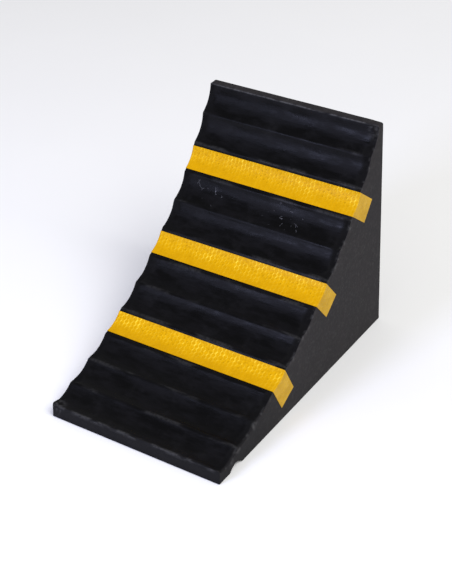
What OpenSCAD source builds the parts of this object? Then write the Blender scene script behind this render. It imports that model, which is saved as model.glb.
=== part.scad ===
// Wheel chock: a solid moulded rubber wedge with a concave, fluted tyre ramp
// and three strips of reflective tape, each folded down over both sides.
// Frame: +X points to the toe, +Y runs across the ramp, +Z is up,
// and the origin is under the middle of the block, on the ground.

/* [Block] */
// Length from the toe face to the back face
chock_length = 250; // [230:1:280]
// Width across the ramp
chock_width = 160; // [100:1:240]
// Height of the top ledge above the ground
chock_height = 190; // [180:1:205]
// Height of the blunt toe face
toe_height = 12; // [6:0.5:18]
// How far the toe face leans back over its height
toe_lean = 1; // [0:0.5:4]
// Length of the flat ledge on top, from the ramp to the back face
ledge_length = 8.5; // [6:0.5:20]

/* [Ramp] */
// Radius of the concave ramp that meets the tyre
ramp_radius = 360; // [320:5:600]
// Number of flutes that run across the ramp
flute_count = 12; // [10:1:14]
// Depth of one flute below its crests
flute_depth = 2.8; // [1:0.1:4]
// Width of the land left on each crest between two flutes
crest_width = 1.6; // [1:0.1:3]

/* [Edges] */
// Radius of the two upper side corners, seen from the front
side_corner_radius = 4; // [1:0.5:8]
// Radius of the upright corners at the back, seen from above
back_corner_radius = 2.5; // [1:0.5:8]
// Radius of the upright corners at the toe, seen from above
toe_corner_radius = 1.5; // [1:0.5:5]
// Radius of the edge between the ledge and the back face
back_edge_radius = 3; // [1:0.5:5]

/* [Underside channel] */
// Width of the channel that crosses the underside near the toe
channel_width = 16; // [6:0.5:20]
// Height of the channel above the ground
channel_height = 4.6; // [1:0.1:5]
// Distance from the toe face to the middle of the channel
channel_offset = 23.5; // [16:0.5:60]

/* [Reflective strips] */
// Flutes that carry the lower, middle and upper strip, counted from the toe
strip_flutes = [4, 7, 10]; // [4:1:10]
// Width of the tape
strip_width = 20; // [12:0.5:21]
// Thickness of the tape
strip_thickness = 0.4; // [0.2:0.1:1]
// Reach of each strip's side flaps below the bottom of its flute
flap_reach = [24.5, 22, 23]; // [5:0.5:30]

/* [Hidden] */
$fn = 96;

rubber_colour = "#1d1d21";
tape_colour = "#f0b51e";

// Ends of the ramp in the side view, where X is along the block and Y is up
toe_x = chock_length / 2;
back_x = -chock_length / 2;
ramp_start = [toe_x - toe_lean, toe_height];
ramp_end = [back_x + ledge_length, chock_height];

// Centre of the ramp arc, on the tyre's side of the line between its ends
ramp_line = ramp_end - ramp_start;
ramp_chord = norm(ramp_line);
ramp_normal = [ramp_line[1], -ramp_line[0]] / ramp_chord;
ramp_centre = (ramp_start + ramp_end) / 2
    + ramp_normal * sqrt(pow(ramp_radius, 2) - pow(ramp_chord / 2, 2));

// Directions from the ramp centre, in degrees
start_angle = atan2(ramp_start[1] - ramp_centre[1], ramp_start[0] - ramp_centre[0]);
end_angle = atan2(ramp_end[1] - ramp_centre[1], ramp_end[0] - ramp_centre[0]);
flute_step = (end_angle - start_angle) / flute_count;

// One flute is an arc through the inner edges of its two crests
crest_angle = crest_width / ramp_radius * 180 / PI;
flute_half_angle = (abs(flute_step) - crest_angle) / 2;
flute_half_width = ramp_radius * sin(flute_half_angle);
flute_sagitta = flute_depth + ramp_radius * (1 - cos(flute_half_angle));
flute_radius = (pow(flute_half_width, 2) + pow(flute_sagitta, 2)) / (2 * flute_sagitta);
flute_distance = ramp_radius + flute_depth - flute_radius;

// The channel is an arc too, with its centre below the ground
channel_radius = (pow(channel_width / 2, 2) + pow(channel_height, 2)) / (2 * channel_height);

// Runs past the faces that it cuts
margin = 5;

// Moves its children to the centre of a flute's arc, with Y pointing into the rubber
module at_flute(number) {
    angle = start_angle + (number - 0.5) * flute_step;
    translate(ramp_centre)
        rotate(angle)
            translate([flute_distance, 0])
                rotate(-90)
                    children();
}

// Stands a side view up across the block
module across(width) {
    rotate([90, 0, 0])
        linear_extrude(height = width, center = true)
            children();
}

// The waste that rounds a corner at the origin, which lies left of and above the material
module corner_waste(radius) {
    difference() {
        translate([-margin, -radius])
            square([radius + margin, radius + margin]);
        translate([radius, -radius])
            circle(radius);
    }
}

// A rectangle centred on X, from y = 0 up, with both of its upper corners rounded
module round_topped(width, height, radius) {
    translate([-width / 2, 0])
        square([width, height - radius]);
    translate([radius - width / 2, 0])
        square([width - 2 * radius, height]);
    for (side = [-1, 1])
        translate([side * (width / 2 - radius), height - radius])
            circle(radius);
}

module side_view() {
    difference() {
        polygon([
            [back_x, 0],
            [toe_x, 0],
            ramp_start,
            ramp_end,
            [back_x, chock_height]
        ]);
        translate(ramp_centre)
            circle(ramp_radius, $fn = 720);
        for (number = [1 : flute_count])
            at_flute(number)
                circle(flute_radius);
        translate([toe_x - channel_offset, channel_height - channel_radius])
            circle(channel_radius);
        translate([back_x, chock_height])
            corner_waste(back_edge_radius);
    }
}

module front_view() {
    round_topped(chock_width, chock_height, side_corner_radius);
}

// The outline from above, with X across the block and Y along it
module top_view() {
    half = chock_length / 2;
    round_topped(chock_width, half, toe_corner_radius);
    mirror([0, 1])
        round_topped(chock_width, half, back_corner_radius);
}

module rubber_body() {
    color(rubber_colour)
        intersection() {
            across(chock_width)
                side_view();
            rotate([90, 0, 90])
                linear_extrude(height = chock_length, center = true)
                    front_view();
            rotate([0, 0, -90])
                linear_extrude(height = chock_height)
                    top_view();
        }
}

// The tape where it lies in its flute, seen from the side
module strip_face() {
    intersection() {
        difference() {
            circle(flute_radius);
            circle(flute_radius - strip_thickness);
        }
        translate([-strip_width / 2, 0])
            square([strip_width, flute_radius]);
    }
}

// The tape that hangs down one side face, seen from that side
module strip_flap(reach) {
    difference() {
        translate([-strip_width / 2, 0])
            square([strip_width, flute_radius + reach]);
        circle(flute_radius - strip_thickness);
    }
}

module reflective_strip(place) {
    color(tape_colour) {
        across(chock_width + 2 * strip_thickness)
            at_flute(strip_flutes[place])
                strip_face();
        for (side = [-1, 1])
            translate([0, side * (chock_width + strip_thickness) / 2, 0])
                across(strip_thickness)
                    at_flute(strip_flutes[place])
                        strip_flap(flap_reach[place]);
    }
}

module lower_reflective_strip() {
    reflective_strip(0);
}

module middle_reflective_strip() {
    reflective_strip(1);
}

module upper_reflective_strip() {
    reflective_strip(2);
}

rubber_body();
lower_reflective_strip();
middle_reflective_strip();
upper_reflective_strip();
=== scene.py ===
import math

import bmesh
import bpy
import numpy as np
from mathutils import Matrix, Vector
from mathutils.geometry import delaunay_2d_cdt


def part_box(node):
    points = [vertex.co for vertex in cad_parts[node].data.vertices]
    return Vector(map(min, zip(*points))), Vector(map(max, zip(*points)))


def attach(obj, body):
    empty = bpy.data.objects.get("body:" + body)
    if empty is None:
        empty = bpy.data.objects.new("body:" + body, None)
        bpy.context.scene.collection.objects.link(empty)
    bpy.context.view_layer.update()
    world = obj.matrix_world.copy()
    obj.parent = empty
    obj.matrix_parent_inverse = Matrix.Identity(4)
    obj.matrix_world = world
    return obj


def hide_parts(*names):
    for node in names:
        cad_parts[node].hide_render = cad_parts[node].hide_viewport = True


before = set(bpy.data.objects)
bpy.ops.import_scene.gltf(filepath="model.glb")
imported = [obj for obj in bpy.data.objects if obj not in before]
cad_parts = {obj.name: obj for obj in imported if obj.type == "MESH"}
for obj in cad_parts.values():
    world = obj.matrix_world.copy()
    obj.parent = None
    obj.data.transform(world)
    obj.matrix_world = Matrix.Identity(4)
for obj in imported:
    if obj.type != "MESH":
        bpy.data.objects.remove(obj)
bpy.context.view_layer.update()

# Lengths are in millimetres in the part's frame, X to the toe, Y across and Z up, unless a comment says
# otherwise. Points turn into metres where they go into a mesh.
MM = 0.001

# The block, from the CAD box
block_low, block_high = (np.array(corner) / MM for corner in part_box("rubber_body"))
HALF_LENGTH = block_high[0]
HALF_WIDTH = block_high[1]
HEIGHT = block_high[2]

# The side view, with the CAD's dimensions
TOE_HEIGHT = 12.0
TOE_LEAN = 1.0
LEDGE_LENGTH = 8.5
RAMP_RADIUS = 360.0
FLUTE_COUNT = 12
FLUTE_DEPTH = 2.8
CREST_WIDTH = 1.6
CHANNEL_WIDTH = 16.0
CHANNEL_HEIGHT = 4.6
CHANNEL_OFFSET = 23.5

# The CAD rounds the top back edge by 3 mm; the worn block's edge is sharper
BACK_EDGE_RADIUS = 1.5

# Radii of the long edges between the side faces and the rest. LOW_RAMP_EDGE is the +Y side's along the
# lowest flutes, and FAR_LEDGE_EDGE is the -Y side's along the ledge.
RAMP_EDGE = 0.7
LOW_RAMP_EDGE = 2.4
TOE_EDGE = 1.4
LEDGE_EDGE = 4.0
FAR_LEDGE_EDGE = 2.0
BACK_EDGE = 1.4
BASE_EDGE = 0.7

# The strips. reach is the flaps' reach below the bottom of the flute.
STRIP_WIDTH = 20.0
STRIP_THICKNESS = 0.4
STRIPS = {
    "lower_reflective_strip": {"flute": 4, "reach": 24.5},
    "middle_reflective_strip": {"flute": 7, "reach": 22.0},
    "upper_reflective_strip": {"flute": 10, "reach": 23.0},
}


# ---------------------------------------------------------------- noise


def value_noise(points, scale, seed):
    """Smooth noise from 0 to 1 at each point. scale is the size of its bumps, one number or three.

    Each seed gives a different noise, which is the same on every run."""
    cells = points / np.asarray(scale, float)
    corner = np.floor(cells)
    part = cells - corner
    part = part * part * (3 - 2 * part)
    corner = corner.astype(np.int64)
    total = np.zeros(len(points))
    for dx in (0, 1):
        for dy in (0, 1):
            for dz in (0, 1):
                x, y, z = (corner + (dx, dy, dz)).T
                mixed = (x * 374761393 + y * 668265263 + z * 1440662683 + seed * 974634777) & 0xFFFFFFFF
                mixed = ((mixed ^ (mixed >> 13)) * 1274126177) & 0xFFFFFFFF
                mixed = ((mixed ^ (mixed >> 16)) * 2246822519) & 0xFFFFFFFF
                random = ((mixed ^ (mixed >> 15)) & 0xFFFFFF) / 0xFFFFFF
                weight = np.ones(len(points))
                for axis, step in enumerate((dx, dy, dz)):
                    weight *= part[:, axis] if step else 1 - part[:, axis]
                total += weight * random
    return total


def fractal_noise(points, scale, octaves, seed):
    """value_noise summed over octaves, each half the size and half the strength of the last."""
    total = np.zeros(len(points))
    strength = 1.0
    for octave in range(octaves):
        total += strength * value_noise(points, np.asarray(scale, float) / 2**octave, seed + octave)
        strength /= 2
    return total / (2 - 2 * strength)


def smooth_step(value, low, high):
    """0 below low, 1 above high, smooth between. low may be above high, which turns it round."""
    t = np.clip((value - low) / (high - low), 0, 1)
    return t * t * (3 - 2 * t)


# ---------------------------------------------------------------- side view

KINDS = ("toe", "ramp", "ledge", "back", "base")
RAMP_KIND = KINDS.index("ramp")

# Spacing of the side view's points before they are picked
OUTLINE_STEP = 0.25

# Widths of the blurs that round the corners, the side edges and the borders between kinds of surface
CORNER_BLUR = 0.6
EDGE_BLUR = 2.4
KIND_BLUR = 0.8

# The toe's lip is rounder than the other corners: its blur, and where that starts and where it is full
TOE_LIP_BLUR = 1.2
TOE_LIP_REACH = (7.0, 3.0)

# The +Y edge is softer over this many flutes from the toe, and that fades over part of the next one
SOFT_FLUTES = 2
SOFT_FADE = 0.9

# Gaps between the picked points, how far the outline may turn in one, in radians, and the blur that
# evens them out
RAMP_GAP = 0.8
WIDEST_GAP = 4.0
NARROWEST_GAP = 0.38
TURN_PER_GAP = 0.12
GAP_BLUR = 1.5


def unit(angle):
    return np.array([math.cos(angle), math.sin(angle)])


def direction(vector):
    return math.atan2(vector[1], vector[0])


class Ramp:
    """The concave ramp in the side view, and where each of its flutes lies."""

    start = np.array([HALF_LENGTH - TOE_LEAN, TOE_HEIGHT])
    end = np.array([LEDGE_LENGTH - HALF_LENGTH, HEIGHT])
    line = end - start
    chord = np.linalg.norm(line)
    normal = np.array([line[1], -line[0]]) / chord
    centre = (start + end) / 2 + normal * math.sqrt(RAMP_RADIUS**2 - (chord / 2) ** 2)
    start_angle = direction(start - centre)
    step = (direction(end - centre) - start_angle) / FLUTE_COUNT
    half_crest = math.copysign(CREST_WIDTH / 2 / RAMP_RADIUS, step)
    half_angle = abs(step) / 2 - abs(half_crest)
    half_width = RAMP_RADIUS * math.sin(half_angle)
    sagitta = FLUTE_DEPTH + RAMP_RADIUS * (1 - math.cos(half_angle))
    flute_radius = (half_width**2 + sagitta**2) / (2 * sagitta)

    @classmethod
    def flute(cls, number):
        """Centre of a flute's arc, the direction into the rubber and the direction up the ramp."""
        inward = unit(cls.start_angle + (number - 0.5) * cls.step)
        centre = cls.centre + inward * (RAMP_RADIUS + FLUTE_DEPTH - cls.flute_radius)
        uphill = np.array([inward[1], -inward[0]])
        if uphill @ cls.line < 0:
            uphill = -uphill
        return centre, inward, uphill


def arc(centre, radius, first, last):
    """Points, about OUTLINE_STEP apart, on the shorter arc from the direction first to the direction last."""
    turn = (last - first + math.pi) % (2 * math.pi) - math.pi
    count = max(2, round(abs(turn) * radius / OUTLINE_STEP))
    return [centre + radius * unit(first + turn * i / count) for i in range(count + 1)]


def flute_bow(number):
    """The arc of one flute, between the crests below and above it."""
    centre = Ramp.flute(number)[0]
    low = Ramp.centre + RAMP_RADIUS * unit(Ramp.start_angle + (number - 1) * Ramp.step + Ramp.half_crest)
    high = Ramp.centre + RAMP_RADIUS * unit(Ramp.start_angle + number * Ramp.step - Ramp.half_crest)
    return arc(centre, Ramp.flute_radius, direction(low - centre), direction(high - centre))


def channel_bow():
    """The arc of the channel in the base."""
    channel_x = HALF_LENGTH - CHANNEL_OFFSET
    half_channel = CHANNEL_WIDTH / 2
    radius = (half_channel**2 + CHANNEL_HEIGHT**2) / (2 * CHANNEL_HEIGHT)
    centre = np.array([channel_x, CHANNEL_HEIGHT - radius])
    mouth = [np.array([channel_x + side * half_channel, 0.0]) - centre for side in (-1, 1)]
    return arc(centre, radius, direction(mouth[0]), direction(mouth[1]))


def sharp_outline():
    """The side view as stretches, anticlockwise seen from -Y: a kind of surface and its corner points."""
    stretches = [("toe", [np.array([HALF_LENGTH, 0.0]), Ramp.start])]
    stretches += [("ramp", flute_bow(number)) for number in range(1, FLUTE_COUNT + 1)]
    stretches.append(("ledge", [Ramp.end]))
    edge_centre = np.array([BACK_EDGE_RADIUS - HALF_LENGTH, HEIGHT - BACK_EDGE_RADIUS])
    stretches.append(("back", arc(edge_centre, BACK_EDGE_RADIUS, math.pi / 2, math.pi)))
    stretches.append(("base", [np.array([-HALF_LENGTH, 0.0])]))
    stretches.append(("base", channel_bow()))
    return stretches


def blur(values, sigma, spacing):
    """Gaussian blur along a closed row of values, an even spacing apart."""
    reach = int(4 * sigma / spacing) + 1
    offsets = np.arange(-reach, reach + 1)
    weights = np.exp(-0.5 * (offsets * spacing / sigma) ** 2)
    weights /= weights.sum()
    return sum(w * np.roll(values, o, axis=0) for w, o in zip(weights, offsets))


def even_outline():
    """Evenly spaced points round the sharp side view, their kinds of surface as shares, and the spacing."""
    corners, kind_of = [], []
    for kind, points in sharp_outline():
        corners += points
        kind_of += [KINDS.index(kind)] * len(points)
    corners = np.array(corners)
    closed = np.vstack([corners, corners[:1]])
    along = np.concatenate([[0], np.cumsum(np.linalg.norm(np.diff(closed, axis=0), axis=1))])
    count = int(along[-1] / OUTLINE_STEP)
    spacing = along[-1] / count
    at = np.arange(count) * spacing
    even = np.stack([np.interp(at, along, closed[:, axis]) for axis in (0, 1)], axis=1)
    segment = np.clip(np.searchsorted(along, at, side="right") - 1, 0, len(corners) - 1)
    share = np.eye(len(KINDS))[np.array(kind_of)[segment]]
    return even, share, spacing


def rounded_outline(even, spacing):
    """The outline with its corners rounded, and its outward normals."""
    smooth = blur(even, CORNER_BLUR, spacing)
    at_toe_lip = smooth_step(np.linalg.norm(even - Ramp.start, axis=1), *TOE_LIP_REACH)[:, None]
    smooth += at_toe_lip * (blur(even, TOE_LIP_BLUR, spacing) - smooth)
    tangent = np.roll(smooth, -1, axis=0) - np.roll(smooth, 1, axis=0)
    tangent /= np.linalg.norm(tangent, axis=1, keepdims=True)
    return smooth, np.stack([tangent[:, 1], -tangent[:, 0]], axis=1)


def edge_radii(smooth, share, low_edge, ledge_edge):
    """Radius, at each point of the outline, of the edge between it and the side face."""
    radius = share @ np.array([TOE_EDGE, RAMP_EDGE, ledge_edge, BACK_EDGE, BASE_EDGE])
    in_space = np.stack([smooth[:, 0], np.zeros(len(smooth)), smooth[:, 1]], axis=1)
    low = share[:, RAMP_KIND] * smooth_step(flute_place(in_space), SOFT_FLUTES + SOFT_FADE, SOFT_FLUTES)
    return radius + (low_edge - RAMP_EDGE) * low


def pick_places(outward, ramp_share, spacing):
    """Which of the even points to keep, as fractional numbers: more on the ramp and where it bends."""
    heading = np.unwrap(np.arctan2(outward[:, 0], -outward[:, 1]))
    bend = np.abs(np.gradient(heading, spacing))
    bend = np.maximum.reduce([np.roll(bend, shift) for shift in range(-4, 5)])
    gap = np.where(ramp_share > 0.3, RAMP_GAP, WIDEST_GAP)
    gap = np.minimum(gap, TURN_PER_GAP / np.maximum(bend, 1e-6))
    gap = blur(np.clip(gap, NARROWEST_GAP, WIDEST_GAP), GAP_BLUR, spacing)
    density = np.concatenate([[0], np.cumsum(spacing / gap)])
    total = int(round(density[-1]))
    return np.interp(np.arange(total) / total * density[-1], density, np.arange(len(density)))


def side_outline(low_edge, ledge_edge):
    """The side view with its corners rounded, sampled closely where it bends.

    low_edge is the edge radius along the lowest flutes, ledge_edge the one along the ledge. Returns, for
    each point, its place, outward normal, edge radius, inset and the kinds of surface as shares."""
    even, share, spacing = even_outline()
    smooth, outward = rounded_outline(even, spacing)
    radius = edge_radii(smooth, share, low_edge, ledge_edge)
    inset = blur(-outward * radius[:, None], EDGE_BLUR, spacing)
    radius = blur(radius, EDGE_BLUR, spacing)
    share = blur(share, KIND_BLUR, spacing)
    picks = pick_places(outward, share[:, RAMP_KIND], spacing)

    def sample(values):
        wrapped = np.vstack([values, values[:1]])
        return np.stack([np.interp(picks, np.arange(len(wrapped)), column) for column in wrapped.T], axis=1)

    return {
        "place": sample(smooth),
        "outward": sample(outward),
        "radius": sample(radius[:, None])[:, 0],
        "inset": sample(inset),
        "share": dict(zip(KINDS, sample(share).T)),
    }


# ---------------------------------------------------------------- meshes


def make_object(name, points, faces, material):
    """A smooth-shaded object from points in millimetres."""
    mesh = bpy.data.meshes.new(name)
    mesh.from_pydata((np.asarray(points) * MM).tolist(), [], faces)
    mesh.shade_smooth()
    mesh.materials.append(material)
    piece = bpy.data.objects.new(name, mesh)
    bpy.context.scene.collection.objects.link(piece)
    return piece


def add_attribute(piece, name, values):
    """A number at each point, for the material to read."""
    layer = piece.data.attributes.new(name, "FLOAT", "POINT")
    layer.data.foreach_set("value", np.asarray(values, np.float32))


def turn_faces_outward(piece, sharp_angle):
    """Turns a closed mesh's faces outward, and shades its edges sharp where they bend more than the angle."""
    shell = bmesh.new()
    shell.from_mesh(piece.data)
    bmesh.ops.recalc_face_normals(shell, faces=shell.faces)
    for edge in shell.edges:
        edge.smooth = edge.calc_face_angle(0) < sharp_angle
    shell.to_mesh(piece.data)
    shell.free()


def grid_normals(points, rows, columns):
    """Normals of a grid of points stored row by row, on the side that its quads' winding gives."""
    grid = points.reshape(rows, columns, 3)
    along = np.gradient(grid, axis=0)
    across = np.gradient(grid, axis=1)
    normals = np.cross(across, along).reshape(-1, 3)
    return normals / np.linalg.norm(normals, axis=1, keepdims=True)


def grid_faces(rows, columns, first=0, wrap=False):
    """Quads of a grid of points stored row by row. wrap joins the last column to the first."""
    faces = []
    for row in range(rows - 1):
        for column in range(columns if wrap else columns - 1):
            after = (column + 1) % columns
            a, b = first + row * columns, first + (row + 1) * columns
            faces.append((a + column, a + after, b + after, b + column))
    return faces


# ---------------------------------------------------------------- rubber block

# Gaps between the ends of the block's straight width and its sections: the outer ones, and the first of
# the evenly spaced inner ones
OUTER_GAPS = (0.0, 0.4, 1.0, 1.8, 2.8, 4.0, 5.4, 7.0, 8.8)
FIRST_INNER_GAP = 10.6
SECTION_SPACING = 1.75

# Turn between sections round an edge, in degrees, and how far inside it the side face's rim lies
EDGE_TURN = 15
RIM_INSET = 0.5

# Spacing of the side faces' inner points, and their distance from the rim, more than any wear there
SIDE_FACE_PITCH = 3.2
RIM_CLEARANCE = 2.8

# Depths of the moulding's unevenness, and how much of it the side faces lack
SWAY_DEPTH = 0.24
LUMP_DEPTH = 0.10
RAMP_LUMP_DEPTH = 0.16
GRAIN_DEPTH = 0.035
SIDE_EVENNESS = 0.65

# How far the ramp drops at its side edges, and over what width
END_DROP = 0.55
END_DROP_WIDTH = 9.5

# Depths of the wear, and the share of the wear of the rim that the -Y side has
FRAY_DEPTH = 0.60
CREST_END_DEPTH = 0.70
CHIP_DEPTH = 0.75
LEDGE_LIP_DEPTH = 0.6
TOE_LIP_DEPTH = 0.4
CORNER_DEPTH = 0.3
FAR_SIDE_WEAR = 0.2

# The wear of the ledge's lip is centred this far down the ramp from it, in X and Z
LEDGE_WEAR_SHIFT = np.array([0.5, -0.5])

# Reach of the scraped patches at the ledge's +Y corner and the toe's -Y corner
LEDGE_PATCH_REACH = 17
TOE_PATCH_REACH = 14

# How far the toe's lip rises at its -Y corner, and where that starts and where it is full
TOE_CORNER_RISE = 1.3
TOE_CORNER_REACH = (11.0, 1.5)

# How pale each kind of wear leaves the rubber
LEDGE_LIP_PALENESS = 0.66
TOE_LIP_PALENESS = 0.32
LEDGE_PATCH_PALENESS = 0.26
TOE_PATCH_PALENESS = 0.5
CHIP_PALENESS = 0.4
CREST_DUST_PALENESS = 0.17

# The flute with most scuffs, and the Y of its two groups of them
SCUFFED_FLUTE = 9
LEFT_SCUFFS = -52
RIGHT_SCUFFS = 22

# Painted shade on the dull faces that deepens towards the toe: none up to one X and full from the other on
TOE_SHADE_STARTS = 8.0
TOE_SHADE_FULL = 96.0

# Heights of the painted shade along the foot of the toe face, where it starts and where it is full
TOE_FOOT_SHADE_HEIGHTS = (5.5, 0.5)


def section_stations():
    """Places of the block's sections: (share of the way across, angle round the edge, extra inset).

    The share runs over the straight part of the width, and the angle over a quarter turn of the edge."""
    straight = HALF_WIDTH - RAMP_EDGE
    inner = np.arange(straight - FIRST_INNER_GAP, -0.1, -SECTION_SPACING)
    half = [1 - gap / straight for gap in OUTER_GAPS] + list(inner / straight)
    shares = sorted(set(np.round(half + [-share for share in half], 6)))
    turns = [math.radians(EDGE_TURN * step) for step in range(1, 90 // EDGE_TURN + 1)]
    stations = [(-1.0, math.pi / 2, RIM_INSET)]
    stations += [(-1.0, turn, 0.0) for turn in reversed(turns)]
    stations += [(share, 0.0, 0.0) for share in shares]
    stations += [(1.0, turn, 0.0) for turn in turns]
    stations += [(1.0, math.pi / 2, RIM_INSET)]
    return stations


def inside(points, outline):
    """Whether each point lies inside a closed outline."""
    result = np.zeros(len(points), bool)
    following = np.roll(outline, -1, axis=0)
    for (x0, y0), (x1, y1) in zip(outline, following):
        crosses = (y0 > points[:, 1]) != (y1 > points[:, 1])
        if crosses.any():
            at = x0 + (points[:, 1] - y0) / (y1 - y0 if y1 != y0 else 1e-9) * (x1 - x0)
            result ^= crosses & (points[:, 0] < at)
    return result


def face_filling(rim):
    """Evenly spread points inside a closed rim, and triangles over the rim and them."""
    low, high = rim.min(axis=0), rim.max(axis=0)
    pitch = SIDE_FACE_PITCH
    rows = np.arange(low[1] + pitch / 2, high[1], pitch * math.sqrt(3) / 2)
    spots = []
    for index, level in enumerate(rows):
        shift = pitch / 2 * (index % 2)
        spots += [(x, level) for x in np.arange(low[0] + shift, high[0], pitch)]
    spots = np.array(spots)
    spots = spots[inside(spots, rim)]
    clear = np.array([np.min(np.hypot(*(rim - spot).T)) > RIM_CLEARANCE for spot in spots])
    spots = spots[clear]
    every = [Vector(p) for p in np.vstack([rim, spots])]
    edges = [(i, (i + 1) % len(rim)) for i in range(len(rim))]
    made = delaunay_2d_cdt(every, edges, [], 1, 1e-5)
    back = {index: sources[0] for index, sources in enumerate(made[3]) if sources}
    triangles = [tuple(back[i] for i in face) for face in made[2]]
    return spots, triangles


def section(outline, share, turn, extra):
    """The points of one section of the block, at a place that section_stations gives."""
    radius = outline["radius"]
    drop = (1 - math.cos(turn)) + extra / radius
    flat = outline["place"] + outline["inset"] * drop[:, None]
    y = share * (HALF_WIDTH - radius) + math.copysign(math.sin(turn), share) * radius
    return np.stack([flat[:, 0], y, flat[:, 1]], axis=1)


def close_side(points, faces, marks, rim_index, side):
    """Fills one side face inside its rim, adding to faces and marks. Returns the points with the new ones."""
    spots, triangles = face_filling(points[rim_index][:, [0, 2]])
    first = len(points)
    added = np.stack([spots[:, 0], np.full(len(spots), side * HALF_WIDTH), spots[:, 1]], axis=1)
    for kind in marks:
        marks[kind] = np.concatenate([marks[kind], np.zeros(len(spots))])
    marks["side"][first:] = 1
    lookup = np.concatenate([rim_index, first + np.arange(len(spots))])
    for triangle in triangles:
        a, b, c = (int(lookup[i]) for i in triangle)
        faces.append((a, b, c) if side < 0 else (a, c, b))
    return np.vstack([points, added])


def rubber_shape():
    """The block's points and faces before any wear, with what each point belongs to."""
    outlines = {-1: side_outline(RAMP_EDGE, FAR_LEDGE_EDGE), 1: side_outline(LOW_RAMP_EDGE, LEDGE_EDGE)}
    stations = section_stations()
    sections = [section(outlines[1 if place[0] > 0 else -1], *place) for place in stations]
    count = len(sections[0])
    points = np.vstack(sections)
    faces = grid_faces(len(stations), count, wrap=True)
    marks = {kind: np.tile(values, len(stations)) for kind, values in outlines[1]["share"].items()}
    for axis, name in enumerate(("outward_x", "outward_z")):
        marks[name] = np.tile(outlines[1]["outward"][:, axis], len(stations))
    marks["side"] = np.repeat([math.sin(turn) ** 2 for _, turn, _ in stations], count)
    for ring, side in ((0, -1), (len(stations) - 1, 1)):
        points = close_side(points, faces, marks, np.arange(count) + ring * count, side)
    return points, faces, marks


def moulding_push(points, ramp):
    """How far the uneven moulded surface lies below the true shape."""
    sway = fractal_noise(points, (34.0, 55.0, 34.0), 3, 11)
    lumps = fractal_noise(points, (6.0, 19.0, 6.0), 3, 23)
    grain = value_noise(points, (1.8, 3.0, 1.8), 31)
    return SWAY_DEPTH * sway + (LUMP_DEPTH + RAMP_LUMP_DEPTH * ramp) * lumps + GRAIN_DEPTH * grain


def flute_place(points):
    """How many flutes up the ramp each point lies, from 0 at the toe to FLUTE_COUNT at the ledge."""
    around = np.arctan2(points[:, 2] - Ramp.centre[1], points[:, 0] - Ramp.centre[0])
    around = (around - Ramp.start_angle + math.pi) % (2 * math.pi) - math.pi
    return around / Ramp.step


def side_fray(points, marks):
    """Roughened ends of the flutes at both side faces: push, and share of frayed surface."""
    gap = HALF_WIDTH - np.abs(points[:, 1])
    open_face = (1 - marks["side"]) * marks["ramp"] * (1 - strip_cover(points))
    ragged = fractal_noise(points, (3.4, 2.0, 3.4), 3, 47)
    reach = 4.6 + 6.5 * value_noise(points * (1, 0, 1), 5.5, 53)
    band = smooth_step(gap, reach, reach * 0.55) * open_face
    return FRAY_DEPTH * band * ragged, np.clip(band * (0.55 + ragged), 0, 1)


def rim_wear(points, marks):
    """The drop of the ramp towards its side edges, worn-down ends of the crests and chips along the edges.

    Returns the push square to the outline, and the share of chipped surface."""
    gap = HALF_WIDTH - np.abs(points[:, 1])
    bare = marks["ramp"] * (1 - strip_cover(points))
    place = flute_place(points)
    from_crest = np.abs(place - np.round(place))
    uneven = value_noise(points, (9.0, 30.0, 9.0), 61)
    crest_end = smooth_step(gap, 4.5, 0.4) * smooth_step(from_crest, 0.24, 0.02) * (0.5 + uneven)
    chips = smooth_step(value_noise(points, (2.4, 3.0, 2.4), 59), 0.50, 0.80)
    chips = smooth_step(gap, 2.4, 0.2) * chips
    drop = END_DROP * smooth_step(gap, END_DROP_WIDTH, 0.5)
    drop = drop * smooth_step(place, SOFT_FLUTES - 0.5, SOFT_FLUTES + 1.5)
    side = FAR_SIDE_WEAR + (1 - FAR_SIDE_WEAR) * smooth_step(points[:, 1], -20, 20)
    push = drop + CREST_END_DEPTH * crest_end + CHIP_DEPTH * chips
    return bare * side * push, bare * side * chips


def crest_dust(points, marks):
    """Share of dust-covered rubber, in patches along the crests."""
    place = flute_place(points)
    from_crest = np.abs(place - np.round(place))
    patch = smooth_step(fractal_noise(points, (7.0, 19.0, 7.0), 3, 137), 0.47, 0.66)
    return marks["ramp"] * patch * smooth_step(from_crest, 0.09, 0.02)


def lip_wear(points, lip, width, cover, seed):
    """Wear of a long edge that runs across the block: push, and share of pale, scraped rubber.

    width scales the scraped line, and it shows where the wear's noise is above cover."""
    away = np.hypot(points[:, 0] - lip[0], points[:, 2] - lip[1])
    across = points * (0, 1, 0)
    wave = fractal_noise(across, 17.0, 3, seed)
    broken = fractal_noise(points, (2.4, 6.5, 2.4), 3, seed + 7)
    push = smooth_step(away, 3.4, 0.2) * (0.75 * wave + 0.35 * broken)
    line = smooth_step(away, 1.5 * width, 0.5 * width) * smooth_step(broken, cover, cover + 0.24)
    return push, line


def corner_wear(points, corner, reach, seed):
    """Share of scraped rubber round one corner of the block."""
    away = np.linalg.norm(points - corner, axis=1)
    torn = fractal_noise(points, (1.5, 2.4, 1.5), 3, seed)
    return smooth_step(away, reach, 0.3 * reach) * smooth_step(torn, 0.46, 0.64)


def scuff_share(points, marks):
    """How likely scuffs are: most in two groups in one flute."""
    in_flute = smooth_step(np.abs(flute_place(points) - (SCUFFED_FLUTE - 0.5)), 0.62, 0.2)
    left = smooth_step(np.abs(points[:, 1] - LEFT_SCUFFS), 26, 8)
    right = smooth_step(np.abs(points[:, 1] - RIGHT_SCUFFS), 34, 12)
    return 0.20 + 0.80 * in_flute * np.maximum(left, 0.88 * right) * marks["ramp"] * (1 - marks["side"])


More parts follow.
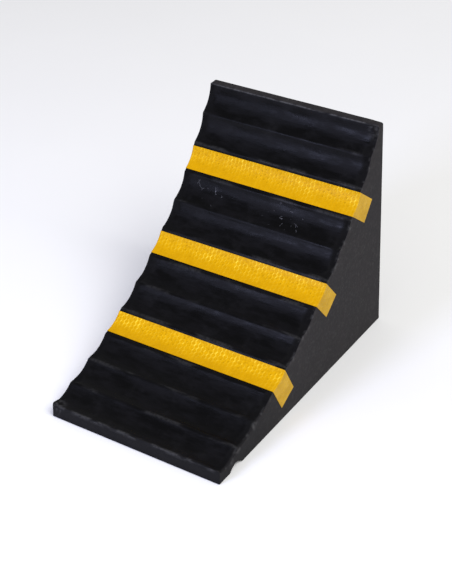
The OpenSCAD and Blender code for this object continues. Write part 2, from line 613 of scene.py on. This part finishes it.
def worn_surface(points, normals, marks):
    """The points after moulding and wear, and the shares of wear that the material needs."""
    push = moulding_push(points, marks["ramp"]) * (1 - SIDE_EVENNESS * marks["side"])
    fray_push, frayed = side_fray(points, marks)
    ledge_push, ledge_line = lip_wear(points, Ramp.end + LEDGE_WEAR_SHIFT, 0.9, 0.31, 71)
    toe_push, toe_line = lip_wear(points, Ramp.start, 2.0, 0.40, 83)
    open_face = 1 - marks["side"]
    push += fray_push + open_face * (LEDGE_LIP_DEPTH * ledge_push + TOE_LIP_DEPTH * toe_push)
    ledge_corner = np.array([Ramp.end[0], HALF_WIDTH, Ramp.end[1]])
    toe_corner = np.array([Ramp.start[0], -HALF_WIDTH, Ramp.start[1]])
    ledge_patch = corner_wear(points, ledge_corner, LEDGE_PATCH_REACH, 97) * (1 - 0.5 * marks["side"])
    toe_patch = corner_wear(points, toe_corner, TOE_PATCH_REACH, 103) * (1 - 0.5 * marks["side"])
    push += CORNER_DEPTH * (ledge_patch + toe_patch)
    rim_push, chipped = rim_wear(points, marks)
    from_toe_corner = np.linalg.norm(points - toe_corner, axis=1)
    rim_push = rim_push - TOE_CORNER_RISE * marks["ramp"] * smooth_step(from_toe_corner, *TOE_CORNER_REACH)
    outward = np.stack([marks["outward_x"], np.zeros(len(points)), marks["outward_z"]], axis=1)
    worn = points - normals * push[:, None] - outward * rim_push[:, None]
    scraped = [
        LEDGE_LIP_PALENESS * ledge_line,
        TOE_LIP_PALENESS * toe_line,
        LEDGE_PATCH_PALENESS * ledge_patch,
        TOE_PATCH_PALENESS * toe_patch,
        CHIP_PALENESS * chipped,
        CREST_DUST_PALENESS * crest_dust(points, marks),
    ]
    return np.clip(worn, block_low, block_high), frayed, np.clip(np.maximum.reduce(scraped), 0, 1)


def rubber_block(material):
    """The moulded block: the side view swept across the width, with rounded edges and light wear."""
    points, faces, marks = rubber_shape()
    open_face = 1 - marks["side"]
    block = make_object("rubber_block", points, faces, material)
    turn_faces_outward(block, math.pi)
    normals = np.empty(points.size)
    block.data.vertices.foreach_get("normal", normals)
    worn, frayed, scraped = worn_surface(points, normals.reshape(-1, 3), marks)
    block.data.vertices.foreach_set("co", (worn * MM).ravel())
    add_attribute(block, "ramp", marks["ramp"] * open_face)
    add_attribute(block, "toe", marks["toe"] * open_face)
    # Share of painted shade along the foot of the toe face
    add_attribute(block, "toe_foot_shade", marks["toe"] * open_face * smooth_step(points[:, 2], *TOE_FOOT_SHADE_HEIGHTS))
    add_attribute(block, "frayed", frayed)
    add_attribute(block, "scraped", scraped)
    add_attribute(block, "scuffs", scuff_share(points, marks))
    # 1 clear of the painted shade near the toe, 0 where it is full
    add_attribute(block, "clear_of_toe_shade", smooth_step(points[:, 0], TOE_SHADE_FULL, TOE_SHADE_STARTS))
    block.data.update()
    return block


# ---------------------------------------------------------------- reflective strips

# Spacing of the points on a strip's outer face, columns of points on its backing, and steps round a fold
SKIN_SPACING = 0.34
BACKING_COLUMNS = 9
FOLD_STEPS = 8

# How far the backing lies inside the rubber
BEDDING = 0.35

FOLD_Y = HALF_WIDTH - RAMP_EDGE
HALF_STRIP = STRIP_WIDTH / 2
STRIP_SHARP_ANGLE = math.radians(50)

# The honeycomb: its cells, and the raised borders between them
CELL_PITCH = 4.0
SEAL_WIDTH = 0.85
SEAL_HEIGHT = 0.045

# Share of the pale dashes left on borders that lean the other way, and on level ones. The pale borders are
# the tape's own; keeping one leaning family palest is painted highlight, as lit from one side
PLAIN_BORDER = 0.55
LEVEL_BORDER = 0.16

# Rise of the noise behind the dashes from a strip's middle to its +Y end: painted highlight that makes the
# dashes show more towards +Y
DASH_DRIFT = 0.12

# The dark pits: their place from a cell's middle, and their radius
PIT_PLACE = (0.7, -0.8)
PIT_RADIUS = 0.6

# Depth of the tape's uneven sag
SAG_DEPTH = 0.07


def strip_cover(points):
    """1 where a strip covers the rubber, 0 elsewhere, with a narrow margin."""
    cover = np.zeros(len(points))
    for facts in STRIPS.values():
        centre, inward, uphill = Ramp.flute(facts["flute"])
        away = points[:, [0, 2]] - centre
        up = np.abs(away @ uphill)
        depth = away @ inward
        end = Ramp.flute_radius + facts["reach"]
        near = smooth_step(up, HALF_STRIP + 1.6, HALF_STRIP + 0.2)
        above = smooth_step(depth, end + 1.5, end)
        below = smooth_step(depth, 0, 2)
        cover = np.maximum(cover, near * above * below)
    return cover


def strip_rows(reach):
    """Stations along a strip: (side, angle round the fold, share of the flap), from the -Y flap's end."""
    flat_count = round(2 * FOLD_Y / SKIN_SPACING)
    flap_count = round(reach / SKIN_SPACING)
    turns = [math.pi / 2 * step / FOLD_STEPS for step in range(FOLD_STEPS + 1)]
    shares = [step / flap_count for step in range(1, flap_count + 1)]
    rows = [(-1, math.pi / 2, share) for share in reversed(shares)]
    rows += [(-1, turn, 0.0) for turn in reversed(turns)]
    rows += [(2 * step / flat_count - 1, None, 0.0) for step in range(1, flat_count)]
    rows += [(1, turn, 0.0) for turn in turns]
    rows += [(1, math.pi / 2, share) for share in shares]
    return rows


def strip_skin(facts, lift, columns):
    """One face of a strip as a grid, that far above the rubber.

    Returns its points, how far along and across the tape each lies, and its share in the flaps."""
    centre, inward, uphill = Ramp.flute(facts["flute"])
    widest = math.asin(HALF_STRIP / Ramp.flute_radius)
    angles = np.linspace(-widest, widest, columns)
    up = Ramp.flute_radius * np.sin(angles)
    surface = np.sqrt(Ramp.flute_radius**2 - up**2)
    flap_end = Ramp.flute_radius + facts["reach"] - surface
    fold_radius = RAMP_EDGE + lift
    fold_length = math.pi / 2 * fold_radius
    points, along, flap = [], [], []
    for side, turn, share in strip_rows(facts["reach"]):
        if turn is None:
            y = np.full(columns, side * FOLD_Y)
            depth = np.full(columns, -lift)
            length = y
            mark = 0.0
        else:
            drop = share * (flap_end - RAMP_EDGE)
            y = np.full(columns, side * (FOLD_Y + fold_radius * math.sin(turn)))
            depth = RAMP_EDGE - fold_radius * math.cos(turn) + drop
            length = side * (FOLD_Y + fold_length * turn / (math.pi / 2) + drop)
            mark = math.sin(turn) ** 2
        flat = centre + np.outer(surface + depth, inward) + np.outer(up, uphill)
        points.append(np.stack([flat[:, 0], y, flat[:, 1]], axis=1))
        along.append(np.broadcast_to(length, columns))
        flap.append(np.full(columns, mark))
    across = np.tile(Ramp.flute_radius * angles, len(points))
    return np.vstack(points), np.concatenate(along), across, np.concatenate(flap)


def cell_centres(along, across):
    """Middles of the four cells round each point.

    The cells stand in columns across the tape, and every other column is half a cell higher."""
    spacing = CELL_PITCH * math.sqrt(3) / 2
    column = np.floor(along / spacing)
    centres = []
    for column_step in (0, 1):
        level = column + column_step
        shift = 0.5 * np.mod(level, 2)
        row = np.floor(across / CELL_PITCH - shift)
        for row_step in (0, 1):
            centres.append(np.stack([level * spacing, (row + row_step + shift) * CELL_PITCH], axis=1))
    return np.stack(centres)


def honeycomb(along, across):
    """Where each point of a tape lies in its honeycomb cell.

    Returns the distance to the nearest border, the way to the cell beyond that border, the place from the
    cell's own middle, and a number from 0 to 1 that differs from cell to cell."""
    centres = cell_centres(along, across)
    place = np.stack([along, across], axis=1)
    gaps = ((centres - place) ** 2).sum(axis=2)
    order = np.argsort(gaps, axis=0)
    points = np.arange(len(along))
    own, beyond = centres[order[0], points], centres[order[1], points]
    border = (gaps[order[1], points] - gaps[order[0], points]) / (2 * CELL_PITCH)
    luck = value_noise(np.column_stack([own, np.zeros(len(own))]), 1.3, 131)
    return border, beyond - own, place - own, luck


def cell_marks(along, across, seed):
    """What the honeycomb shows: its raised borders, pale dashes on some with painted highlight, and dark pits
    in some cells.
    """
    border, step, place, luck = honeycomb(along, across)
    seal = smooth_step(border, 0.7 * SEAL_WIDTH, 0.25 * SEAL_WIDTH)
    lean = step[:, 0] * step[:, 1]
    # Painted highlight: borders leaning one way stay palest, as lit from one side
    lit_border_paleness = np.where(lean < -0.1, 1.0, np.where(lean > 0.1, PLAIN_BORDER, LEVEL_BORDER))
    spots = np.stack([along, across, np.full(len(along), 40.0 * seed)], axis=1)
    # Painted highlight: noise patches, rising towards +Y, set where the dashes show strongest
    patch = fractal_noise(spots, (30.0, 14.0, 9.0), 2, 141) + DASH_DRIFT * along / HALF_WIDTH
    patch = smooth_step(patch, 0.36, 0.62)
    dash_and_highlight = seal * lit_border_paleness * smooth_step(luck, 0.25, 0.50) * (0.35 + 0.65 * patch)
    pit_distance = np.hypot(place[:, 0] - PIT_PLACE[0], place[:, 1] - PIT_PLACE[1])
    pit = smooth_step(pit_distance, 1.3 * PIT_RADIUS, 0.6 * PIT_RADIUS)
    pit *= smooth_step(luck, 0.52, 0.38) * (1 - 0.75 * patch) * smooth_step(across, -7.0, 0.0)
    return seal, dash_and_highlight, pit


def shell_faces(rows, columns):
    """Faces of a strip: its outer face, its backing, and the narrow walls between them."""
    first = rows * columns
    faces = grid_faces(rows, columns)
    faces += [face[::-1] for face in grid_faces(rows, BACKING_COLUMNS, first)]
    for row in range(rows - 1):
        for outer_column, inner_column in ((0, 0), (columns - 1, BACKING_COLUMNS - 1)):
            a, b = row * columns + outer_column, (row + 1) * columns + outer_column
            c = first + (row + 1) * BACKING_COLUMNS + inner_column
            d = first + row * BACKING_COLUMNS + inner_column
            faces.append((a, b, c, d))
    for row in (0, rows - 1):
        over = [row * columns + column for column in range(columns)]
        under = [first + row * BACKING_COLUMNS + column for column in range(BACKING_COLUMNS)]
        faces.append(tuple(over + under[::-1]))
    return faces


def reflective_strip(name, facts, material, seed):
    """One strip of tape: a closed shell lying in its flute and folded down over both side faces."""
    columns = round(STRIP_WIDTH / SKIN_SPACING) + 1
    skin, along, across, flap = strip_skin(facts, STRIP_THICKNESS, columns)
    backing, _, _, back_flap = strip_skin(facts, -BEDDING, BACKING_COLUMNS)
    rows = len(skin) // columns
    normals = grid_normals(skin, rows, columns)
    inward = Ramp.flute(facts["flute"])[1]
    if (normals[:, [0, 2]] @ inward).mean() > 0:
        normals = -normals
    seal, dash_and_highlight, pit = cell_marks(along + 0.3 * seed, across, seed)
    place = np.stack([along, across, np.full(len(along), 10.0 * seed)], axis=1)
    sag = SAG_DEPTH * fractal_noise(place, (16.0, 9.0, 9.0), 3, 101)
    lift = SEAL_HEIGHT * (seal - 1) - sag
    skin = skin + normals * lift[:, None]
    piece = make_object(name, np.vstack([skin, backing]), shell_faces(rows, columns), material)
    turn_faces_outward(piece, STRIP_SHARP_ANGLE)
    # Painted light: glints and dashes grow stronger into the upper half, which the lamps light less
    upper_light_share = 0.22 + 0.78 * smooth_step(across, -4.5, 2.5)
    unseen = np.zeros(len(backing))
    add_attribute(piece, "dash_and_highlight", np.concatenate([dash_and_highlight * upper_light_share, unseen]))
    add_attribute(piece, "pit", np.concatenate([pit, unseen]))
    add_attribute(piece, "upper_glint_light", np.concatenate([upper_light_share, unseen]))
    add_attribute(piece, "flap", np.concatenate([flap, back_flap]))
    return piece


# ---------------------------------------------------------------- materials

# Colours in linear red, green and blue. Where there are two, a noise blends them.
DULL_RUBBER = (0.0165, 0.0150, 0.0168), (0.0260, 0.0238, 0.0260)
FINE_DUST = (0.050, 0.047, 0.048)
# The next three colours are painted shade: towards the toe, on the toe face and at the toe face's foot
PAINTED_SHADE_NEAR_TOE = (0.0080, 0.0078, 0.0090)
PAINTED_TOE_FACE_SHADE = (0.0075, 0.0073, 0.0086)
PAINTED_TOE_FOOT_SHADE = (0.0034, 0.0033, 0.0040)
GLOSSY_RUBBER = (0.0010, 0.0010, 0.0015), (0.0034, 0.0032, 0.0044)
DUSTY_FLUTE = (0.0110, 0.0108, 0.0130)
FRAYED_RUBBER = (0.0022, 0.0021, 0.0026)
SCRAPED_RUBBER = (0.105, 0.104, 0.108)
SCUFFED_RUBBER = (0.15, 0.15, 0.175)
TAPE_CELL = (0.575, 0.297, 0.0011), (0.630, 0.330, 0.0014)
PAINTED_TAPE_GLINT = (0.84, 0.47, 0.003)
TAPE_SPOT = (0.42, 0.215, 0.001)
TAPE_PIT = (0.39, 0.205, 0.001)
TAPE_DASH = (0.98, 0.72, 0.060)
TAPE_FLAP_SHADE = (0.46, 0.272, 0.020), (0.56, 0.338, 0.032)
PALE_FLOOR = (0.93, 0.93, 0.932), (0.945, 0.945, 0.947)


class Shader:
    """A Principled material and the few kinds of node used here. Textures are laid out in metres."""

    def __init__(self, name):
        self.material = bpy.data.materials.new(name)
        self.material.use_nodes = True
        self.tree = self.material.node_tree
        self.surface = self.tree.nodes["Principled BSDF"]
        self.place = self.tree.nodes.new("ShaderNodeTexCoord").outputs["Object"]

    def set(self, **values):
        """Sets sockets of the Principled shader, underscores standing for spaces."""
        for name, value in values.items():
            self.surface.inputs[name.replace("_", " ")].default_value = value

    def feed(self, name, source):
        self.tree.links.new(source, self.surface.inputs[name])

    def attribute(self, name):
        node = self.tree.nodes.new("ShaderNodeAttribute")
        node.attribute_name = name
        return node.outputs["Fac"]

    def stretched(self, scales):
        """The place on the object, with each axis scaled."""
        node = self.tree.nodes.new("ShaderNodeMapping")
        node.inputs["Scale"].default_value = scales
        self.tree.links.new(self.place, node.inputs["Vector"])
        return node.outputs["Vector"]

    def noise(self, scale, detail=4.0, roughness=0.55, place=None):
        node = self.tree.nodes.new("ShaderNodeTexNoise")
        node.inputs["Scale"].default_value = scale
        node.inputs["Detail"].default_value = detail
        node.inputs["Roughness"].default_value = roughness
        self.tree.links.new(place or self.place, node.inputs["Vector"])
        return node.outputs["Fac"]

    def cells(self, scale, output="Distance"):
        node = self.tree.nodes.new("ShaderNodeTexVoronoi")
        node.inputs["Scale"].default_value = scale
        self.tree.links.new(self.place, node.inputs["Vector"])
        return node.outputs[output]

    def crack_distance(self, scale, bend_scale, bend):
        """Distance, in cells, to the borders of irregular cells, which a noise bends by up to bend metres."""
        wander = self.tree.nodes.new("ShaderNodeTexNoise")
        wander.inputs["Scale"].default_value = bend_scale
        wander.inputs["Detail"].default_value = 1.0
        self.tree.links.new(self.place, wander.inputs["Vector"])
        shift = self.tree.nodes.new("ShaderNodeVectorMath")
        shift.operation = "MULTIPLY_ADD"
        shift.inputs[1].default_value = (bend, bend, bend)
        self.tree.links.new(wander.outputs["Color"], shift.inputs[0])
        self.tree.links.new(self.place, shift.inputs[2])
        node = self.tree.nodes.new("ShaderNodeTexVoronoi")
        node.feature = "DISTANCE_TO_EDGE"
        node.inputs["Scale"].default_value = scale
        self.tree.links.new(shift.outputs["Vector"], node.inputs["Vector"])
        return node.outputs["Distance"]

    def between(self, source, low, high, least=0.0, most=1.0):
        """source turned from low..high into least..most, and held there outside it."""
        node = self.tree.nodes.new("ShaderNodeMapRange")
        node.interpolation_type = "SMOOTHSTEP"
        for name, value in (("From Min", low), ("From Max", high), ("To Min", least), ("To Max", most)):
            node.inputs[name].default_value = value
        self.tree.links.new(source, node.inputs["Value"])
        return node.outputs["Result"]

    def combine(self, operation, first, second):
        node = self.tree.nodes.new("ShaderNodeMath")
        node.operation = operation
        for index, value in enumerate((first, second)):
            if isinstance(value, (int, float)):
                node.inputs[index].default_value = value
            else:
                self.tree.links.new(value, node.inputs[index])
        return node.outputs["Value"]

    def times(self, first, second):
        return self.combine("MULTIPLY", first, second)

    def blend(self, share, first, second):
        """A colour between first and second."""
        node = self.tree.nodes.new("ShaderNodeMix")
        node.data_type = "RGBA"
        self.tree.links.new(share, node.inputs["Factor"])
        for name, value in (("A", first), ("B", second)):
            socket = [s for s in node.inputs if s.name == name and s.type == "RGBA"][0]
            if isinstance(value, tuple):
                socket.default_value = (*value, 1.0)
            else:
                self.tree.links.new(value, socket)
        return [s for s in node.outputs if s.type == "RGBA"][0]

    def bump(self, height, distance, strength=1.0, under=None):
        """A bump of that height in metres, on top of the bump under it."""
        node = self.tree.nodes.new("ShaderNodeBump")
        node.inputs["Distance"].default_value = distance
        node.inputs["Strength"].default_value = strength
        self.tree.links.new(height, node.inputs["Height"])
        if under is not None:
            self.tree.links.new(under, node.inputs["Normal"])
        return node.outputs["Normal"]


def scuff_marks(shader):
    """Pale specks and short bent hairlines, where the scuffs attribute allows them."""
    specks = shader.between(shader.noise(640.0, 2.0), 0.745, 0.79)
    hairs = shader.between(shader.crack_distance(125.0, 340.0, 0.0022), 0.016, 0.006)
    hairs = shader.times(hairs, shader.between(shader.noise(210.0, 1.0), 0.61, 0.66))
    allowed = shader.combine("ADD", shader.attribute("scuffs"), shader.noise(38.0, 3.0))
    allowed = shader.between(allowed, 0.98, 1.50)
    return shader.times(shader.combine("MAXIMUM", specks, hairs), allowed)


def dull_colour(shader, dust, fine_dust):
    """Colour of every face but the ramp: dust over it, with painted shade that deepens towards the toe,
    darker on the toe face and darkest at its foot.
    """
    dull = shader.blend(shader.between(dust, 0.3, 0.75), *DULL_RUBBER)
    dull = shader.blend(shader.between(fine_dust, 0.45, 0.8, 0.0, 0.6), dull, FINE_DUST)
    # Painted shade: the dull faces darken towards the toe
    toe_shade = shader.combine("SUBTRACT", 1.0, shader.attribute("clear_of_toe_shade"))
    dull = shader.blend(shader.times(toe_shade, 0.75), dull, PAINTED_SHADE_NEAR_TOE)
    # Painted shade: the toe face darker than the other dull faces
    dull = shader.blend(shader.attribute("toe"), dull, PAINTED_TOE_FACE_SHADE)
    # Painted shade along the foot of the toe face
    return shader.blend(shader.times(shader.attribute("toe_foot_shade"), 0.7), dull, PAINTED_TOE_FOOT_SHADE)


def glossy_colour(shader, patches, dust, frayed):
    """Colour of the ramp, with some dust in the flutes and darker frayed ends."""
    glossy = shader.blend(shader.between(patches, 0.35, 0.75), *GLOSSY_RUBBER)
    glossy = shader.blend(shader.between(dust, 0.52, 0.78, 0.0, 0.45), glossy, DUSTY_FLUTE)
    return shader.blend(shader.times(frayed, 0.85), glossy, FRAYED_RUBBER)


def worn_colour(shader, colour, fine_dust):
    """That colour with the scraped rubber and the scuffs over it."""
    scraped = shader.times(shader.attribute("scraped"), shader.between(fine_dust, 0.3, 0.6, 0.25, 1.0))
    colour = shader.blend(scraped, colour, SCRAPED_RUBBER)
    marks = scuff_marks(shader)
    return shader.blend(shader.times(marks, 0.75), colour, SCUFFED_RUBBER)


def rubber_roughness(shader, ramp, frayed, dust, patches):
    """Smooth in patches on the ramp, rough elsewhere and where frayed."""
    smooth = shader.between(patches, 0.32, 0.70, 0.27, 0.52)
    smooth = shader.combine("ADD", smooth, shader.times(frayed, 0.35))
    rough = shader.between(dust, 0.3, 0.75, 0.60, 0.74)
    mixed = shader.times(ramp, shader.combine("SUBTRACT", smooth, rough))
    return shader.combine("ADD", rough, mixed)


def rubber():
    """Black moulded rubber: a broken shine in the flutes, dull and dust-covered on the other faces, with
    painted shade towards the toe.
    """
    shader = Shader("black_rubber")
    shader.set(IOR=1.5, Specular_IOR_Level=0.10, Metallic=0.0)
    ramp = shader.attribute("ramp")
    frayed = shader.attribute("frayed")
    dust = shader.noise(55.0, 6.0, 0.6)
    fine_dust = shader.noise(420.0, 5.0, 0.65)
    patches = shader.noise(1.0, 5.0, 0.6, shader.stretched((150.0, 42.0, 150.0)))
    flow = shader.noise(1.0, 5.0, 0.6, shader.stretched((420.0, 22.0, 420.0)))
    dull = dull_colour(shader, dust, fine_dust)
    glossy = glossy_colour(shader, patches, dust, frayed)
    colour = shader.blend(ramp, dull, glossy)
    shader.feed("Base Color", worn_colour(shader, colour, fine_dust))
    shader.feed("Roughness", rubber_roughness(shader, ramp, frayed, dust, patches))
    relief = shader.bump(dust, 0.0004, 0.5)
    relief = shader.bump(patches, 0.00035, 0.6, relief)
    relief = shader.bump(flow, 0.00014, 0.6, relief)
    relief = shader.bump(shader.noise(1600.0, 3.0), 0.00006, 0.6, relief)
    shader.feed("Normal", relief)
    return shader.material


def reflective_tape():
    """Yellow reflective tape: honeycomb cells of tiny facets under a clear film, with paler borders, painted
    glints and highlights, and flaps painted in shade.
    """
    shader = Shader("yellow_reflective_tape")
    shader.set(IOR=1.5, Specular_IOR_Level=0.04, Metallic=0.0, Coat_Weight=0.02, Coat_Roughness=0.2)
    flap = shader.attribute("flap")
    facets = shader.cells(2400.0)
    clouds = shader.noise(130.0, 4.0)
    grains = shader.noise(700.0, 3.0)
    spots = shader.between(shader.noise(430.0, 2.0), 0.57, 0.70)
    cell = shader.blend(shader.between(clouds, 0.3, 0.7), *TAPE_CELL)
    # Painted glints in the base colour, most in the tape's upper half
    painted_glints = shader.times(shader.attribute("upper_glint_light"), shader.between(grains, 0.40, 0.64, 0.0, 0.45))
    cell = shader.blend(painted_glints, cell, PAINTED_TAPE_GLINT)
    cell = shader.blend(shader.times(spots, 0.22), cell, TAPE_SPOT)
    cell = shader.blend(shader.times(shader.attribute("pit"), 0.7), cell, TAPE_PIT)
    # Pale dashes: the tape's own borders, with painted highlight
    dashes = shader.times(shader.attribute("dash_and_highlight"), shader.between(clouds, 0.38, 0.60, 0.4, 1.0))
    colour = shader.blend(dashes, cell, TAPE_DASH)
    # Painted shade with a painted pale sheen: the folded flaps darker and greyer than the tape on the ramp
    folded = shader.blend(shader.between(clouds, 0.3, 0.7), *TAPE_FLAP_SHADE)
    colour = shader.blend(shader.times(flap, 0.8), colour, folded)
    shader.feed("Base Color", colour)
    shader.feed("Roughness", shader.between(grains, 0.35, 0.7, 0.28, 0.44))
    relief = shader.bump(facets, 0.00008, 0.7)
    relief = shader.bump(clouds, 0.0003, 0.4, relief)
    shader.feed("Normal", relief)
    return shader.material


def floor_paint():
    shader = Shader("pale_floor")
    shader.set(Roughness=0.9, Specular_IOR_Level=0.1)
    mottle = shader.between(shader.noise(3.0, 3.0), 0.3, 0.7)
    shader.feed("Base Color", shader.blend(mottle, *PALE_FLOOR))
    return shader.material


# ---------------------------------------------------------------- studio

# The studio is in metres and degrees. The camera stands CAMERA_DISTANCE from MIDDLE.
MIDDLE = Vector((0, 0, HEIGHT * MM / 2))
CAMERA_AZIMUTH = 125.26
CAMERA_ELEVATION = 33.36
CAMERA_DISTANCE = 1.1471
CAMERA_AIM = Vector((0.0049, 0.0107, 0.0801))
CAMERA_ROLL = 2.77
CAMERA_LENS = 89.07
FLOOR_RADIUS = 8.0
FLOOR_CORNERS = 64
WORLD_COLOUR = (1, 0.99, 0.97, 1)
WORLD_STRENGTH = 0.44
SHEEN_COLOUR = (0.62, 0.66, 1.0)


def make_floor():
    mesh = bpy.data.meshes.new("floor")
    turns = np.linspace(0, 2 * math.pi, FLOOR_CORNERS + 1)[:-1]
    rim = [(FLOOR_RADIUS * math.cos(turn), FLOOR_RADIUS * math.sin(turn), 0) for turn in turns]
    mesh.from_pydata(rim, [], [tuple(range(len(rim)))])
    mesh.materials.append(floor_paint())
    floor = bpy.data.objects.new("floor", mesh)
    bpy.context.scene.collection.objects.link(floor)


def make_camera():
    azimuth, elevation = math.radians(CAMERA_AZIMUTH), math.radians(CAMERA_ELEVATION)
    level = math.cos(elevation)
    back = Vector((math.sin(azimuth) * level, -math.cos(azimuth) * level, math.sin(elevation)))
    data = bpy.data.cameras.new("camera")
    data.lens = CAMERA_LENS
    camera = bpy.data.objects.new("camera", data)
    eye = MIDDLE + back * CAMERA_DISTANCE
    turn = (CAMERA_AIM - eye).to_track_quat("-Z", "Y").to_matrix().to_4x4()
    camera.matrix_world = Matrix.Translation(eye) @ turn @ Matrix.Rotation(-math.radians(CAMERA_ROLL), 4, "Z")
    bpy.context.scene.collection.objects.link(camera)
    bpy.context.scene.camera = camera


def softbox(name, towards, distance, size, watts, colour=(1, 1, 1)):
    """A square area light, in that direction from the block's middle, facing it."""
    data = bpy.data.lights.new(name, "AREA")
    data.size = size
    data.energy = watts
    data.color = colour
    lamp = bpy.data.objects.new(name, data)
    way = Vector(towards).normalized()
    turn = way.to_track_quat("Z", "Y").to_matrix().to_4x4()
    lamp.matrix_world = Matrix.Translation(MIDDLE + way * distance) @ turn
    bpy.context.scene.collection.objects.link(lamp)


def make_lights():
    world = bpy.data.worlds.new("studio")
    world.use_nodes = True
    background = world.node_tree.nodes["Background"]
    background.inputs["Color"].default_value = WORLD_COLOUR
    background.inputs["Strength"].default_value = WORLD_STRENGTH
    bpy.context.scene.world = world
    softbox("key", (0.15, 0.60, 0.79), distance=3.4, size=2.27, watts=89)
    softbox("sheen", (0.80, -0.26, 0.38), distance=1.3, size=0.42, watts=9.5, colour=SHEEN_COLOUR)
    bpy.context.scene.view_settings.view_transform = "Standard"


# ---------------------------------------------------------------- assembly

black_rubber = rubber()
yellow_tape = reflective_tape()

block = rubber_block(black_rubber)
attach(block, "root")
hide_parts("rubber_body")

for seed, (strip_name, strip_facts) in enumerate(STRIPS.items()):
    strip = reflective_strip(strip_name + "_tape", strip_facts, yellow_tape, seed)
    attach(strip, "root")
    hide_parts(strip_name)

make_floor()
make_lights()
make_camera()
